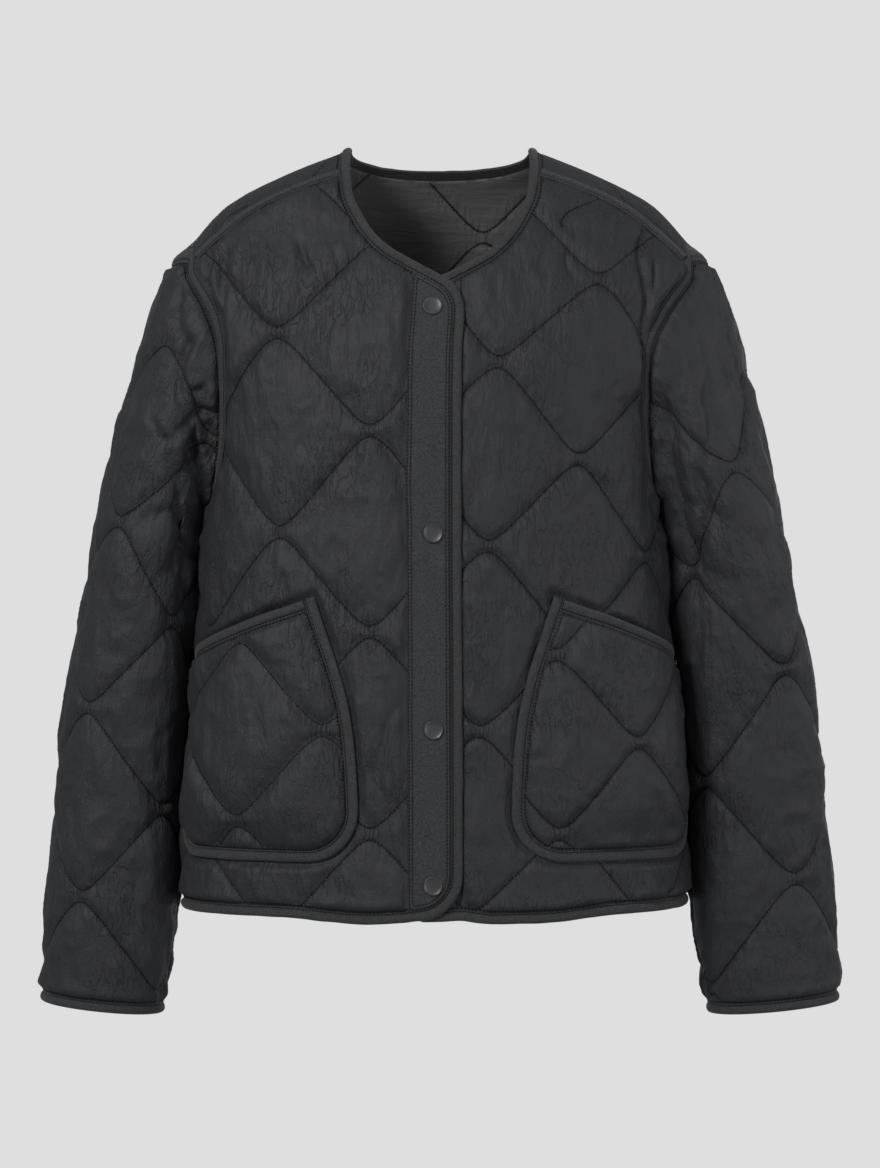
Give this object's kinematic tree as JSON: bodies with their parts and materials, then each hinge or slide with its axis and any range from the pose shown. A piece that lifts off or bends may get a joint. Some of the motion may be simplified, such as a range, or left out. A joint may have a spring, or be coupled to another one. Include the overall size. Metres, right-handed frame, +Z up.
{
  "type": "quilted jacket",
  "caption": "Collarless quilted jacket with bound edges, long sleeves, slanted patch pockets and a snap placket, filled out and hollow.",
  "frame": {"origin": "between the neck points of the shoulders, where the shoulders carry the jacket", "axes": "+Z up, the front faces -Y, the wearer's right is at -X"},
  "size_m": [0.6528, 0.2529, 0.7051],
  "materials": {
    "quilted_nylon": "washed charcoal nylon, finely crinkled, soft low sheen",
    "binding_twill": "matte charcoal cotton-nylon twill",
    "snap_cap": "matte black lacquered snap cap"
  },
  "bodies": {
    "root": {"front_right": "quilted_nylon", "front_left": "quilted_nylon", "back": "quilted_nylon", "sleeve_right": "quilted_nylon", "sleeve_left": "quilted_nylon", "pocket_right": "quilted_nylon", "pocket_left": "quilted_nylon", "placket": "binding_twill", "front_edge_binding": "binding_twill", "underlap_binding": "binding_twill", "neck_binding": "binding_twill", "hem_binding": "binding_twill", "cuff_binding_right": "binding_twill", "cuff_binding_left": "binding_twill", "shoulder_tape_right": "binding_twill", "shoulder_tape_left": "binding_twill", "armhole_tape_right": "binding_twill", "armhole_tape_left": "binding_twill", "pocket_mouth_binding_right": "binding_twill", "pocket_mouth_binding_left": "binding_twill", "pocket_edge_binding_right": "binding_twill", "pocket_edge_binding_left": "binding_twill", "snap_1": "snap_cap", "snap_2": "snap_cap", "snap_3": "snap_cap", "snap_4": "snap_cap"}
  },
  "joints": []
}
